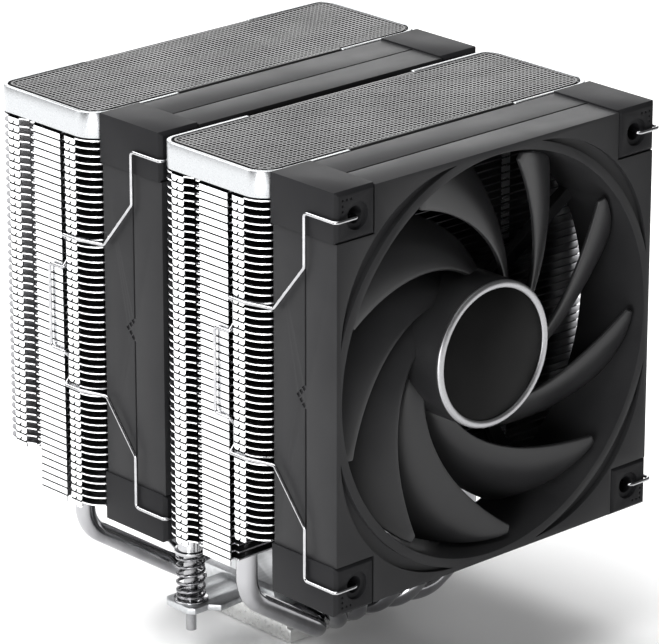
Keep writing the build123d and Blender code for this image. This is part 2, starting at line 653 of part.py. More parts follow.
for fan, face_y in FANS.items():
    with BuildPart() as frame:
        with BuildSketch(fan_plane(face_y, FRAME_INSET / 2)):
            Rectangle(FAN_SIDE - 2 * FRAME_INSET, FAN_SIDE - 2 * FRAME_INSET)
            with GridLocations(2 * pad_centre, 2 * pad_centre, 2, 2):
                Rectangle(PAD_SIDE, PAD_SIDE, mode=Mode.SUBTRACT)
            Circle(DUCT_R, mode=Mode.SUBTRACT)
        extrude(amount=-(FAN_DEPTH - FRAME_INSET / 2))
        with BuildSketch(fan_plane(face_y, FRAME_INSET / 2)):
            with PolarLocations(crescent_shift, 4, start_angle=45):
                Circle(crescent_cut_r)
            Circle(CRESCENT_R, mode=Mode.SUBTRACT)
        extrude(amount=-CRESCENT_DEPTH, mode=Mode.SUBTRACT)
        with BuildSketch(fan_plane(face_y, SEAM_DEPTH)):
            Rectangle(2 * FAN_SIDE, 2 * FAN_SIDE)
            seam_side = FAN_SIDE - 2 * FRAME_INSET - 2 * SEAM_SIZE
            Rectangle(seam_side, seam_side, mode=Mode.SUBTRACT)
            Rectangle(2 * FAN_SIDE, 2 * NOTCH_REACH, mode=Mode.SUBTRACT)
        extrude(amount=-SEAM_SIZE, mode=Mode.SUBTRACT)
        for sign in (-1, 1):
            seam_middle = Plane(
                origin=(sign * (FAN_SIDE / 2 - FRAME_INSET), face_y + SEAM_DEPTH + SEAM_SIZE / 2, FAN_Z),
                x_dir=(0, 1, 0),
                z_dir=(sign, 0, 0),
            )
            with BuildSketch(seam_middle):
                with Locations(*NOTCH_PLACES):
                    Rectangle(NOTCH_SIDE, NOTCH_SIDE, rotation=45)
            extrude(amount=-NOTCH_DEPTH, mode=Mode.SUBTRACT)
        with BuildSketch(fan_plane(face_y, MOTOR_PLATE_BACK)):
            with PolarLocations(0, 4, start_angle=STRUT_ANGLE):
                with Locations(((MOTOR_PLATE_R + DUCT_R) / 2, 0)):
                    Rectangle(DUCT_R - MOTOR_PLATE_R + 2 * STRUT_OVERLAP, STRUT_WIDTH)
            Circle(MOTOR_PLATE_R)
            Circle(BEARING_R, mode=Mode.SUBTRACT)
        extrude(amount=MOTOR_PLATE_THICK)
        with BuildSketch(fan_plane(face_y, MOTOR_PLATE_FRONT)):
            Circle(TUBE_R)
            Circle(BEARING_R, mode=Mode.SUBTRACT)
        extrude(amount=MOTOR_PLATE_FRONT - BEARING_FRONT)
    write(f"{fan}_frame", frame)

    with BuildPart() as pads:
        with BuildSketch(fan_plane(face_y, 0)):
            with GridLocations(2 * pad_centre, 2 * pad_centre, 2, 2):
                Rectangle(PAD_SIDE, PAD_SIDE)
        extrude(amount=-(FAN_DEPTH + FAN_GAP))
        front_faces = pads.faces().group_by(Axis.Y)[0]
        chamfer(front_faces.edges(), PAD_BEVEL)
        with BuildSketch(fan_plane(face_y, 0)):
            with GridLocations(HOLE_SPACING, HOLE_SPACING, 2, 2):
                Circle(HOLE_R)
        extrude(amount=-(FAN_DEPTH + FAN_GAP), mode=Mode.SUBTRACT)
        with BuildSketch(fan_plane(face_y, 0)):
            with GridLocations(HOLE_SPACING, HOLE_SPACING, 2, 2):
                Circle(HOLE_RING_R)
        extrude(amount=-HOLE_RING_DEPTH, mode=Mode.SUBTRACT)
        with BuildSketch(fan_plane(face_y, 0)):
            with Locations([(u * sx, v * sz) for u, v in dot_places for sx in (-1, 1) for sz in (-1, 1)]):
                Rectangle(DOT_SIDE, DOT_SIDE)
        extrude(amount=-DOT_DEPTH, mode=Mode.SUBTRACT)
    write(f"{fan}_pads", pads)

    with BuildPart() as rotor:
        with BuildSketch(fan_plane(face_y, HUB_FRONT)):
            Circle(HUB_R)
        extrude(amount=-(HUB_BACK - HUB_FRONT))
        with BuildSketch(fan_plane(face_y, HUB_BACK)):
            Circle(HUB_R - HUB_WALL)
        extrude(amount=HUB_BACK - HUB_FRONT - HUB_PLATE, mode=Mode.SUBTRACT)
        with BuildSketch(fan_plane(face_y, HUB_FRONT + HUB_PLATE)):
            Circle(2 * SHAFT_R)
        extrude(amount=-SHAFT_BOSS)
        with BuildSketch(fan_plane(face_y, HUB_FRONT + SHAFT_COVER)):
            Circle(SHAFT_R)
        extrude(amount=-(HUB_PLATE + SHAFT_BOSS), mode=Mode.SUBTRACT)
        with Locations(fan_plane(face_y, 0).location):
            with PolarLocations(0, BLADE_COUNT):
                add(blade.part)
    write(f"{fan}_rotor", rotor)

    with BuildPart() as hub_ring:
        with BuildSketch(fan_plane(face_y, HUB_FRONT)):
            Circle(HUB_R)
            Circle(LABEL_R, mode=Mode.SUBTRACT)
        extrude(amount=HUB_RING_THICK)
    write(f"{fan}_hub_ring", hub_ring)

    with BuildPart() as hub_label:
        with BuildSketch(fan_plane(face_y, HUB_FRONT)):
            Circle(LABEL_R)
        extrude(amount=LABEL_THICK)
    write(f"{fan}_hub_label", hub_label)

    magnet_front = HUB_FRONT + HUB_PLATE + MAGNET_GAP
    with BuildPart() as magnet:
        with BuildSketch(fan_plane(face_y, magnet_front)):
            Circle(HUB_R - HUB_WALL)
            Circle(HUB_R - HUB_WALL - MAGNET_WALL, mode=Mode.SUBTRACT)
        extrude(amount=-MAGNET_LENGTH)
    write(f"{fan}_magnet", magnet)

    with BuildPart() as shaft:
        with BuildSketch(fan_plane(face_y, HUB_FRONT + SHAFT_COVER)):
            Circle(SHAFT_R)
        extrude(amount=-(MOTOR_PLATE_BACK - SHAFT_END_GAP - HUB_FRONT - SHAFT_COVER))
    write(f"{fan}_shaft", shaft)

    with BuildPart() as bearing:
        with BuildSketch(fan_plane(face_y, BEARING_FRONT)):
            Circle(BEARING_R)
            Circle(SHAFT_R + RUNNING_GAP, mode=Mode.SUBTRACT)
        extrude(amount=-(MOTOR_PLATE_BACK - BEARING_END_GAP - BEARING_FRONT))
    write(f"{fan}_bearing", bearing)

    with BuildPart() as retainer:
        with BuildSketch(fan_plane(face_y, MOTOR_PLATE_BACK - SHAFT_END_GAP)):
            Circle(RETAINER_R)
            Circle(SHAFT_R, mode=Mode.SUBTRACT)
        extrude(amount=RETAINER_THICK)
    write(f"{fan}_retainer", retainer)

    with BuildPart() as stator:
        with BuildSketch(fan_plane(face_y, STATOR_FRONT)):
            Circle(STATOR_R)
            Circle(STATOR_R - STATOR_RIM, mode=Mode.SUBTRACT)
            with PolarLocations((STATOR_R + TUBE_R) / 2, STATOR_POLES):
                Rectangle(STATOR_R - TUBE_R, STATOR_POLE_WIDTH)
            Circle(TUBE_R + STATOR_CORE)
            Circle(TUBE_R, mode=Mode.SUBTRACT)
        extrude(amount=-STATOR_LENGTH)
    write(f"{fan}_stator", stator)

    with BuildPart() as board:
        with BuildSketch(fan_plane(face_y, BOARD_FRONT)):
            Circle(BOARD_R)
            Circle(TUBE_R, mode=Mode.SUBTRACT)
        extrude(amount=-BOARD_THICK)
    write(f"{fan}_board", board)

# ---- Fan wire clips: ends in the fan's holes, a wire seated in the fin groove, a finger loop ----
for fan, face_y in FANS.items():
    tower_y = face_y + FAN_DEPTH + FAN_GAP
    for side, sign in SIDES.items():
        upper_half = [
            (CLIP_END_X, face_y + CLIP_END_DEPTH, CLIP_HIGH_Z),
            (CLIP_END_X, face_y - MOVING_GAP - WIRE_R, CLIP_HIGH_Z),
            (CLIP_SIDE_X, face_y - MOVING_GAP - WIRE_R, CLIP_HIGH_Z),
            (CLIP_SIDE_X, face_y + CLIP_SIDE_DEPTH, CLIP_HIGH_Z),
            (CLIP_SIDE_X, face_y + CLIP_SIDE_DEPTH, CLIP_DROP_Z),
            (CLIP_SIDE_X, tower_y - CLIP_TOWER_GAP, CLIP_MIDDLE_Z),
            (CLIP_FIN_X, tower_y + CLIP_CORNER_Y, CLIP_MIDDLE_Z),
            (CLIP_FIN_X, tower_y + CLIP_GROOVE_Y, CLIP_MIDDLE_Z),
            (CLIP_GROOVE_X, tower_y + CLIP_GROOVE_Y, CLIP_MIDDLE_Z - CLIP_STEP),
            (CLIP_GROOVE_X, tower_y + CLIP_GROOVE_Y, CLIP_HANDLE_Z + CLIP_STEP),
            (CLIP_FIN_X, tower_y + CLIP_GROOVE_Y, CLIP_HANDLE_Z),
            (CLIP_FIN_X, tower_y + CLIP_HANDLE_Y, CLIP_HANDLE_Z),
        ]
        bends = [CLIP_BEND_R] * 5 + [CLIP_SMALL_BEND_R] * 5 + [CLIP_BEND_R]
        path_points = [(sign * x, y, FAN_Z + z) for x, y, z in upper_half]
        path_points += [(sign * x, y, FAN_Z - z) for x, y, z in reversed(upper_half)]
        with BuildPart() as wire_clip:
            with BuildLine() as clip_path:
                FilletPolyline(*path_points, radius=bends + bends[::-1])
            with BuildSketch(Plane(clip_path.line @ 0, z_dir=clip_path.line % 0)):
                Circle(WIRE_R)
            sweep()
        write(f"{fan}_{side}_wire_clip", wire_clip)
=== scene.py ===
# %% [markdown]
# # A twin tower processor cooler
# Two towers of thin fins stand on six bent heat pipes, with one fan in front and one between them.
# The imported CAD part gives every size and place. This script dresses it: the pieces that catch the
# light are modelled again in more detail, and the rest keep their CAD shape under a better finish.

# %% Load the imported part
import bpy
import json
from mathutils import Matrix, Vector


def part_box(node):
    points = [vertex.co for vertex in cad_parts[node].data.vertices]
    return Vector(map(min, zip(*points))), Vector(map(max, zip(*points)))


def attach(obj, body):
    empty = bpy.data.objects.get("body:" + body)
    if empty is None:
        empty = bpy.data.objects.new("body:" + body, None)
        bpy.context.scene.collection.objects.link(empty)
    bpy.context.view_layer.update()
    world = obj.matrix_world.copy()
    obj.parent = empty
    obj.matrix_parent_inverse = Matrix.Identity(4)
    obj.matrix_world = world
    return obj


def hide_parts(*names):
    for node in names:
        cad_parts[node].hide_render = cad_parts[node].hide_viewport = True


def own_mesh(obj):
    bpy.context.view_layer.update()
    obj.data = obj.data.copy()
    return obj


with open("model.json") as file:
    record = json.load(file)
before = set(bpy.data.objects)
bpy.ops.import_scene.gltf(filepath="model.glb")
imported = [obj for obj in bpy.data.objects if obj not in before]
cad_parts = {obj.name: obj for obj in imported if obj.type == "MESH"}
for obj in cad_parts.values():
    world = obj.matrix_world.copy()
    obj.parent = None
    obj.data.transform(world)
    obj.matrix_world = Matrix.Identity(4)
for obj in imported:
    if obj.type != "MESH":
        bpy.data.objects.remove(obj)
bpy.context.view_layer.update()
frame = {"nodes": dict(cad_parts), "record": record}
import json
from math import atan2, cos, hypot, log, pi, radians, sin, tan

import bmesh
import bpy
from mathutils import Matrix, Vector

nodes = frame["nodes"]

# %% [markdown]
# Workshop drawings of coolers are in millimetres, so all the modelling below is too. A piece is
# turned into metres once, when it is finished. The places come from the CAD boxes: each fan's face,
# each tower's front and the fans' centre height.

# %% Places read from the part
MM = 0.001


def node_box(node):
    """Lowest and highest corner of a CAD node, in millimetres."""
    low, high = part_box(node)
    return Vector(low) / MM, Vector(high) / MM


FANS = ("front", "middle")
SIDES = {"left": -1, "right": 1}
FAN_FACE = {fan: node_box(f"{fan}_pads")[0].y for fan in FANS}
FAN_Z = sum(corner.z for corner in node_box("front_pads")) / 2
TOWER_FRONT = {tower: node_box(f"{tower}_fins")[0].y for tower in ("front", "rear")}
TOWER_HALF_X = node_box("rear_fins")[1].x
TOWER_DEPTH = node_box("rear_fins")[1].y - TOWER_FRONT["rear"]
print("fan faces", FAN_FACE, "tower fronts", TOWER_FRONT, "tower depth", TOWER_DEPTH)

# %% [markdown]
# ## Finishes
# Every finish is a Principled shader driven by noise on Object coordinates, so it stays fixed to the
# metal or plastic when the camera moves. A small grain on moulded plastic, streaks on rolled sheet
# and soft blotches on plated pipe are what make each one read as its real material.


# %% A helper that starts a finish
def new_finish(name, color, metallic, roughness, shine=0.5):
    """A material with its Principled shader and its Object coordinates ready to wire."""
    material = bpy.data.materials.new(name)
    material.use_nodes = True
    tree = material.node_tree
    shader = tree.nodes["Principled BSDF"]
    shader.inputs["Base Color"].default_value = (*color, 1)
    shader.inputs["Metallic"].default_value = metallic
    shader.inputs["Roughness"].default_value = roughness
    shader.inputs["Specular IOR Level"].default_value = shine
    coordinates = tree.nodes.new("ShaderNodeTexCoord")
    return material, tree, shader, coordinates.outputs["Object"]


# %% [markdown]
# Two small helpers do most of the wiring. One spreads a value between two limits by a noise that can
# be stretched along an axis. The other turns the same noise into a slight bump.


# %% Helpers for uneven gloss and for grain
def stretched_noise(tree, coordinates, scale, stretch=(1, 1, 1), detail=3):
    """Noise whose cells are stretched along an axis by a Mapping node."""
    mapping = tree.nodes.new("ShaderNodeMapping")
    mapping.inputs["Scale"].default_value = stretch
    noise = tree.nodes.new("ShaderNodeTexNoise")
    noise.inputs["Scale"].default_value = scale
    noise.inputs["Detail"].default_value = detail
    tree.links.new(coordinates, mapping.inputs["Vector"])
    tree.links.new(mapping.outputs["Vector"], noise.inputs["Vector"])
    return noise.outputs["Fac"]


def spread(tree, value, low, high, socket):
    """Feeds a socket with a noise value spread between two limits."""
    spreader = tree.nodes.new("ShaderNodeMapRange")
    spreader.inputs["From Min"].default_value = 0.3
    spreader.inputs["From Max"].default_value = 0.7
    spreader.inputs["To Min"].default_value = low
    spreader.inputs["To Max"].default_value = high
    tree.links.new(value, spreader.inputs["Value"])
    tree.links.new(spreader.outputs["Result"], socket)


def tint(tree, value, dark, light, socket):
    """Feeds a colour socket with a blend of two colours."""
    ramp = tree.nodes.new("ShaderNodeValToRGB")
    ramp.color_ramp.elements[0].position = 0.35
    ramp.color_ramp.elements[1].position = 0.65
    ramp.color_ramp.elements[0].color = (*dark, 1)
    ramp.color_ramp.elements[1].color = (*light, 1)
    tree.links.new(value, ramp.inputs["Fac"])
    tree.links.new(ramp.outputs["Color"], socket)


def grain(tree, shader, value, strength, depth_mm):
    """Raises the surface slightly where the noise is bright."""
    bump = tree.nodes.new("ShaderNodeBump")
    bump.inputs["Strength"].default_value = strength
    bump.inputs["Distance"].default_value = depth_mm * MM
    tree.links.new(value, bump.inputs["Height"])
    tree.links.new(bump.outputs["Normal"], shader.inputs["Normal"])


# %% [markdown]
# Moulded parts: the fan housings and blades are spark-textured in the mould, which leaves a fine even
# grain, and the rubber pads are duller still. They differ in lightness, grain and gloss. The near-black
# painted shade lines the sunk holes of the punched plate and the cover's side faces beside each trim,
# standing in for the dark inside the holes and the shadowed gap beside the trim.


# %% Moulded plastic and rubber
def moulded(name, dark, light, roughness, grain_scale, grain_strength, shine=0.3):
    """A fine-grained moulded surface with slightly uneven lightness."""
    material, tree, shader, where = new_finish(name, light, 0.0, roughness, shine)
    fine = stretched_noise(tree, where, grain_scale, detail=2)
    broad = stretched_noise(tree, where, 60)
    tint(tree, broad, dark, light, shader.inputs["Base Color"])
    spread(tree, broad, roughness - 0.05, roughness + 0.05, shader.inputs["Roughness"])
    grain(tree, shader, fine, grain_strength, 0.05)
    return material


# BLACK is the label's own black, and also the painted shade of the cover holes and trim gaps.
BLACK = ((0.002, 0.002, 0.002), (0.004, 0.004, 0.004))
finishes = {
    "fan_grey": moulded(
        "fan_grey", (0.019, 0.019, 0.020), (0.023, 0.023, 0.024), 0.44, 3200, 0.16, shine=0.09
    ),
    "blade_grey": moulded("blade_grey", (0.018, 0.018, 0.019), (0.022, 0.022, 0.023), 0.36, 4200, 0.08),
    "pad_rubber": moulded(
        "pad_rubber", (0.010, 0.010, 0.011), (0.013, 0.013, 0.014), 0.52, 2600, 0.25, shine=0.08
    ),
    "cover_black": moulded("cover_black", (0.040, 0.040, 0.041), (0.050, 0.050, 0.051), 0.36, 3000, 0.1),
    "board_dark": moulded("board_dark", (0.012, 0.030, 0.018), (0.016, 0.042, 0.024), 0.40, 900, 0.10),
    # painted shade: near-black for the insides of the cover holes and the gap beside each trim
    "painted_shade_black": moulded("painted_shade_black", *BLACK, 0.6, 5000, 0.02, shine=0.05),
    "label_black": moulded("label_black", *BLACK, 0.4, 5000, 0.02, shine=0.05),
    "magnet_iron": moulded("magnet_iron", (0.05, 0.05, 0.05), (0.08, 0.08, 0.08), 0.65, 1500, 0.3),
}
print("moulded finishes", sorted(finishes))

# %% [markdown]
# Metals: rolled fin sheet has faint streaks along the roll, plated pipe is smooth with a cloudy gloss,
# and the trims are blasted and anodised, so they glow softly instead of mirroring the room.


# %% Metal finishes
def metal(name, dark, light, gloss, streak, scale, bump):
    """A metal whose gloss and lightness follow a noise, stretched for a rolled or brushed surface."""
    material, tree, shader, where = new_finish(name, light, 1.0, gloss[0])
    pattern = stretched_noise(tree, where, scale, streak, detail=4)
    tint(tree, pattern, dark, light, shader.inputs["Base Color"])
    spread(tree, pattern, *gloss, shader.inputs["Roughness"])
    if bump:
        grain(tree, shader, pattern, bump, 0.03)
    return material


NO_STREAK = (1, 1, 1)
ALONG_X = (0.06, 1, 1)
ALONG_Z = (1, 1, 0.06)
METALS = {
    "fin_metal": ((0.86, 0.87, 0.88), (0.95, 0.955, 0.96), (0.22, 0.34), ALONG_X, 900, 0.05),
    # a darker copy of the fin metal: painted shade for the sheets' faces and front edges
    "fin_painted_shade": ((0.16, 0.16, 0.17), (0.24, 0.24, 0.25), (0.30, 0.42), ALONG_X, 900, 0.05),
    "pipe_nickel": ((0.26, 0.26, 0.27), (0.34, 0.34, 0.35), (0.08, 0.17), ALONG_Z, 160, 0),
    "nickel_plate": ((0.72, 0.72, 0.71), (0.80, 0.80, 0.79), (0.24, 0.36), ALONG_X, 700, 0.08),
    "satin_aluminium": ((0.52, 0.53, 0.54), (0.62, 0.63, 0.64), (0.34, 0.46), ALONG_X, 800, 0.1),
    "bar_steel": ((0.42, 0.43, 0.44), (0.50, 0.51, 0.52), (0.36, 0.50), NO_STREAK, 1400, 0.15),
    "bright_steel": ((0.34, 0.34, 0.35), (0.42, 0.42, 0.43), (0.12, 0.20), NO_STREAK, 500, 0),
    "dark_spring_steel": ((0.20, 0.20, 0.21), (0.30, 0.30, 0.31), (0.22, 0.34), NO_STREAK, 900, 0),
    "trim_silver": ((0.39, 0.40, 0.41), (0.44, 0.45, 0.46), (0.26, 0.32), NO_STREAK, 2600, 0.06),
    "ring_silver": ((0.34, 0.34, 0.35), (0.40, 0.40, 0.41), (0.34, 0.44), NO_STREAK, 2600, 0.05),
    "bearing_brass": ((0.62, 0.46, 0.22), (0.72, 0.56, 0.28), (0.3, 0.45), NO_STREAK, 1200, 0),
    "winding_steel": ((0.30, 0.29, 0.28), (0.40, 0.39, 0.38), (0.4, 0.5), ALONG_Z, 1500, 0),
}
for name, look in METALS.items():
    finishes[name] = metal(name, *look)
print("all finishes", len(finishes))

# %% [markdown]
# Every CAD node first takes the finish of its own slot in the record. Those that are modelled again
# further down hide their CAD node; the others are shown like this.

# %% Finish the CAD nodes
slot_of = {row["node"]: row["material_slot"] for row in frame["record"]["subparts"]}
body_of = {}
for body, members in frame["record"]["behaviour"]["bodies"].items():
    for member in members:
        body_of[member] = body
for node, obj in nodes.items():
    for place in obj.material_slots:
        place.material = finishes[slot_of[node]]
print("slots used", sorted(set(slot_of.values())))

# %% [markdown]
# ## Turning a mesh into a finished piece
# One helper does the closing steps for every piece, so that none is forgotten: millimetres become
# metres, the normals are turned outwards when asked, smooth shading stops at real edges, and the piece
# is tied to the body it moves with, takes the finish of its slot and hides the CAD nodes it stands for.


# %% The finishing helper
def finish_piece(bm, name, node, stands_for=None, crease=35, outward=True):
    """Writes a bmesh, modelled in millimetres, as a piece that stands for one or more CAD nodes."""
    if outward:
        bmesh.ops.recalc_face_normals(bm, faces=bm.faces)
    bmesh.ops.scale(bm, vec=(MM, MM, MM), verts=bm.verts)
    mesh = bpy.data.meshes.new(name)
    bm.to_mesh(mesh)
    bm.free()
    mesh.shade_smooth()
    mesh.set_sharp_from_angle(angle=radians(crease))
    mesh.materials.append(finishes[slot_of[node]])
    piece = bpy.data.objects.new(name, mesh)
    bpy.context.collection.objects.link(piece)
    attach(piece, body_of[node])
    if stands_for is None:
        stands_for = (node,)
    if stands_for:
        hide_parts(*stands_for)
    print(name, "faces", len(mesh.polygons))
    return piece


# %% [markdown]
# Machined and moulded blocks have the right shape in CAD, but their edges are perfectly sharp, and a
# real edge always catches a thin line of light. A copy of the CAD mesh is merged, its flat triangles
# are joined into whole faces, and its sharp edges get a small round bevel.


# %% Round the edges of a CAD shape
def cad_copy(node):
    """A merged copy of a CAD node's mesh, in millimetres, with whole flat faces."""
    bm = bmesh.new()
    bm.from_mesh(nodes[node].data)
    bmesh.ops.scale(bm, vec=(1 / MM, 1 / MM, 1 / MM), verts=bm.verts)
    bmesh.ops.remove_doubles(bm, verts=bm.verts, dist=0.004)
    bmesh.ops.dissolve_limit(bm, angle_limit=radians(1), verts=bm.verts, edges=bm.edges)
    return bm


def round_edges(bm, size, sharper_than=38, segments=2):
    """Bevels every edge that turns by more than an angle."""
    sharp = [e for e in bm.edges if e.is_manifold and e.calc_face_angle(0) > radians(sharper_than)]
    bmesh.ops.bevel(
        bm,
        geom=sharp,
        offset=size,
        segments=segments,
        affect="EDGES",
        profile=0.5,
        material=-1,
        clamp_overlap=True,
    )


BLOCKS = {
    "cold_plate": 0.15,
    "base_block": 0.15,
    "bar_cap": 0.2,
    "mounting_bar": 0.25,
    "cap_screws": 0.12,
    "left_screw": 0.12,
    "right_screw": 0.12,
    "left_washer": 0.1,
    "right_washer": 0.1,
    "left_screw_ring": 0.08,
    "right_screw_ring": 0.08,
    "front_left_trim": 0.22,
    "front_right_trim": 0.22,
    "rear_left_trim": 0.22,
    "rear_right_trim": 0.22,
    "front_pads": 0.28,
    "middle_pads": 0.28,
    "front_frame": 0.3,
    "middle_frame": 0.3,
}
for node, edge_size in BLOCKS.items():
    block = cad_copy(node)
    round_edges(block, edge_size)
    finish_piece(block, f"{node}_rounded", node, outward=False)

# %% [markdown]
# ## Bent rods and wires
# The heat pipes, the wire clips and the springs are all a round section carried along a bent line.
# The line is given by its corners and how tightly each one is bent, as a pipe bender would be told,
# and a curve with a round bevel gives the skin, which is then turned into a mesh.


# %% A line with bent corners
def bent_line(corners, radii, turn=6):
    """Points along straight runs joined by arcs, with an arc point about every few degrees."""
    corners = [Vector(c) for c in corners]
    line = [corners[0]]
    for before, corner, after, radius in zip(corners, corners[1:], corners[2:], radii):
        toward_before = (before - corner).normalized()
        toward_after = (after - corner).normalized()
        bend = pi - toward_before.angle(toward_after)
        reach = radius * tan(bend / 2)
        middle = (toward_before + toward_after).normalized()
        centre = corner + middle * radius / cos(bend / 2)
        start = corner + toward_before * reach - centre
        steps = max(2, round(bend / radians(turn)))
        axis = toward_before.cross(toward_after).normalized()
        for step in range(steps + 1):
            line.append(centre + Matrix.Rotation(-bend * step / steps, 3, axis) @ start)
    line.append(corners[-1])
    return line


# %% A round rod along a line
def rod(line, radius, sides=8):
    """A bmesh of a round rod with closed ends along points in millimetres."""
    curve = bpy.data.curves.new("rod", "CURVE")
    curve.dimensions = "3D"
    spline = curve.splines.new("POLY")
    spline.points.add(len(line) - 1)
    for place, point in zip(spline.points, line):
        place.co = (*point, 1)
    curve.bevel_depth = radius
    curve.bevel_resolution = sides
    curve.use_fill_caps = True
    holder = bpy.data.objects.new("rod", curve)
    skin = bpy.data.meshes.new_from_object(holder)
    bm = bmesh.new()
    bm.from_mesh(skin)
    bmesh.ops.remove_doubles(bm, verts=bm.verts, dist=0.0005)
    bpy.data.objects.remove(holder)
    bpy.data.curves.remove(curve)
    bpy.data.meshes.remove(skin)
    return bm


# %% [markdown]
# Each heat pipe runs straight through the base, bends up and outwards at both ends and rises through
# one tower's fins. The three pipes of each side fan out so that they share the heat evenly.

# %% Heat pipes
PIPE_R = 3.0
PIPE_Z = 7.8
PIPE_PITCH = 6.7
PIPE_COLUMNS = ((14.5, 21.0, 30.0), (31.5, 18.5, 32.0), (50.6, 21.0, 28.6))
PIPE_FLARE = 1.12
ELBOW_Y = 31.7
BASE_HALF_Y = 19.0
PIPE_TOP = node_box("heat_pipe_1")[1].z
PIPE_BENDS = (11.0, 8.5, 8.5, 8.5, 8.5, 11.0)
pipe_places = []
for number in range(6):
    offset_from_middle = number - 2.5
    side = 1 if offset_from_middle > 0 else -1
    column_x, column_depth, corner_z = PIPE_COLUMNS[int(abs(offset_from_middle))]
    base_x = offset_from_middle * PIPE_PITCH
    front_y = TOWER_FRONT["front"] + column_depth
    rear_y = TOWER_FRONT["rear"] + column_depth
    corners = [
        (side * column_x, front_y, PIPE_TOP),
        (side * column_x, front_y, corner_z),
        (base_x * PIPE_FLARE, -ELBOW_Y, PIPE_Z),
        (base_x, -BASE_HALF_Y, PIPE_Z),
        (base_x, BASE_HALF_Y, PIPE_Z),
        (base_x * PIPE_FLARE, ELBOW_Y, PIPE_Z),
        (side * column_x, rear_y, corner_z),
        (side * column_x, rear_y, PIPE_TOP),
    ]
    pipe_places.append((side * column_x, column_depth))
    pipe = rod(bent_line(corners, PIPE_BENDS, turn=4), PIPE_R, sides=12)
    node = f"heat_pipe_{number + 1}"
    finish_piece(pipe, f"{node}_bent", node, outward=False)

# %% [markdown]
# A fan clip is one length of spring wire. Its two ends hook into the fan's mounting holes, it runs
# round the side of the fan, drops into a groove in the fins and has a loop in the middle for a finger.

# %% Fan wire clips
WIRE_R = 0.5
CLIP_BENDS = (1.3, 1.3, 1.3, 1.3, 1.3, 0.7, 0.7, 0.7, 0.7, 0.7, 1.3)
for fan in FANS:
    face = FAN_FACE[fan]
    tower = face + 25.5
    half = [
        (52.8, face + 3.5, 52.3),
        (52.8, face - 0.8, 52.3),
        (60.8, face - 0.8, 52.3),
        (60.8, face + 11.4, 52.3),
        (60.8, face + 11.4, 37.0),
        (60.8, tower - 2.0, 22.4),
        (63.4, tower + 6.7, 22.4),
        (63.4, tower + 13.0, 22.4),
        (61.6, tower + 13.0, 20.4),
        (61.6, tower + 13.0, 14.5),
        (63.4, tower + 13.0, 12.5),
        (63.4, tower + 18.9, 12.5),
    ]
    for side, sign in SIDES.items():
        corners = [(sign * x, y, FAN_Z + z) for x, y, z in half]
        corners += [(sign * x, y, FAN_Z - z) for x, y, z in reversed(half)]
        wire = rod(bent_line(corners, CLIP_BENDS + CLIP_BENDS[::-1], turn=12), WIRE_R, sides=5)
        node = f"{fan}_{side}_wire_clip"
        finish_piece(wire, f"{node}_bent", node, outward=False)

# %% [markdown]
# The springs that press the cooler onto the processor are wound with a closed coil at each end, so
# that they sit flat on the washer and under the screw's flange.

# %% Screw springs
SPRING_R = 3.85
SPRING_WIRE_R = 0.45
SPRING_TURNS = 6.5
STEPS_PER_TURN = 28
for side, sign in SIDES.items():
    low, high = node_box(f"{side}_spring")
    bottom = low.z + SPRING_WIRE_R
    rise = high.z - low.z - 2 * SPRING_WIRE_R
    axis_x = (low.x + high.x) / 2
    coil = []
    for step in range(round(SPRING_TURNS * STEPS_PER_TURN) + 1):
        turn = step / STEPS_PER_TURN
        closed = 0.95 * 2 * SPRING_WIRE_R
        open_turns = SPRING_TURNS - 2
        middle_share = min(max((turn - 1) / open_turns, 0), 1)
        height = min(turn, 1) * closed + middle_share * (rise - 2 * closed)
        height += max(turn - 1 - open_turns, 0) * closed
        angle = 2 * pi * turn
        coil.append((axis_x + SPRING_R * cos(angle), SPRING_R * sin(angle), bottom + height))
    node = f"{side}_spring"
    spring = rod(coil, SPRING_WIRE_R, sides=4)
    piece = finish_piece(spring, f"{node}_coil", node, outward=False)
    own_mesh(piece)

# %% [markdown]
# ## Fins
# A fin is stamped from thin sheet. Its side edge is folded down in three places, and each fold just
# reaches the next fin, so the folds build the bright columns on the tower's side. Between them the
# edge is bare and the gaps look black. One fin is modelled and then stacked.

# %% The outline of one fin
FIN_THICK = 0.4
FIN_PITCH = 2.206
TOP_FIN_Z = 151.3
FIN_COUNT = {"front": 49, "rear": 50}
SHORT_FINS = {"front": 4, "rear": 5}
GROOVE = (12.3, 14.3)
RECESS = (25.6, 32.1)


def quarter(centre_x, centre_y, radius, start, steps=7):
    """Points of a quarter circle, anticlockwise from an angle in degrees."""
    angles = [radians(start + 90 * step / steps) for step in range(steps + 1)]
    return [(centre_x + radius * cos(a), centre_y + radius * sin(a)) for a in angles]


side_edge = quarter(TOWER_HALF_X - 7.5, 7.5, 7.5, -90)
side_edge += [
    (TOWER_HALF_X, GROOVE[0]),
    (TOWER_HALF_X - 1.6, GROOVE[0]),
    (TOWER_HALF_X - 1.6, GROOVE[1]),
    (TOWER_HALF_X, GROOVE[1]),
    (TOWER_HALF_X, RECESS[0]),
    (TOWER_HALF_X - 0.5, 26.2),
    (TOWER_HALF_X - 1.2, 26.5),
    (TOWER_HALF_X - 0.7, 27.0),
    (TOWER_HALF_X - 0.7, 27.8),
    (TOWER_HALF_X - 2.2, 28.0),
    (TOWER_HALF_X - 2.2, 29.0),
    (TOWER_HALF_X - 1.3, 29.2),
    (TOWER_HALF_X - 1.0, 30.2),
    (TOWER_HALF_X - 0.5, 31.2),
    (TOWER_HALF_X, RECESS[1]),
]
side_edge += quarter(TOWER_HALF_X - 5.0, TOWER_DEPTH - 5.0, 5.0, 0)
fin_outline = side_edge + [(-x, y) for x, y in reversed(side_edge)]
print("fin outline points", len(fin_outline))

# %% [markdown]
# The sheet is the outline with six round holes for the pipes. Filling between the outline and the
# holes gives a flat face, and solidify gives it the sheet's thickness.


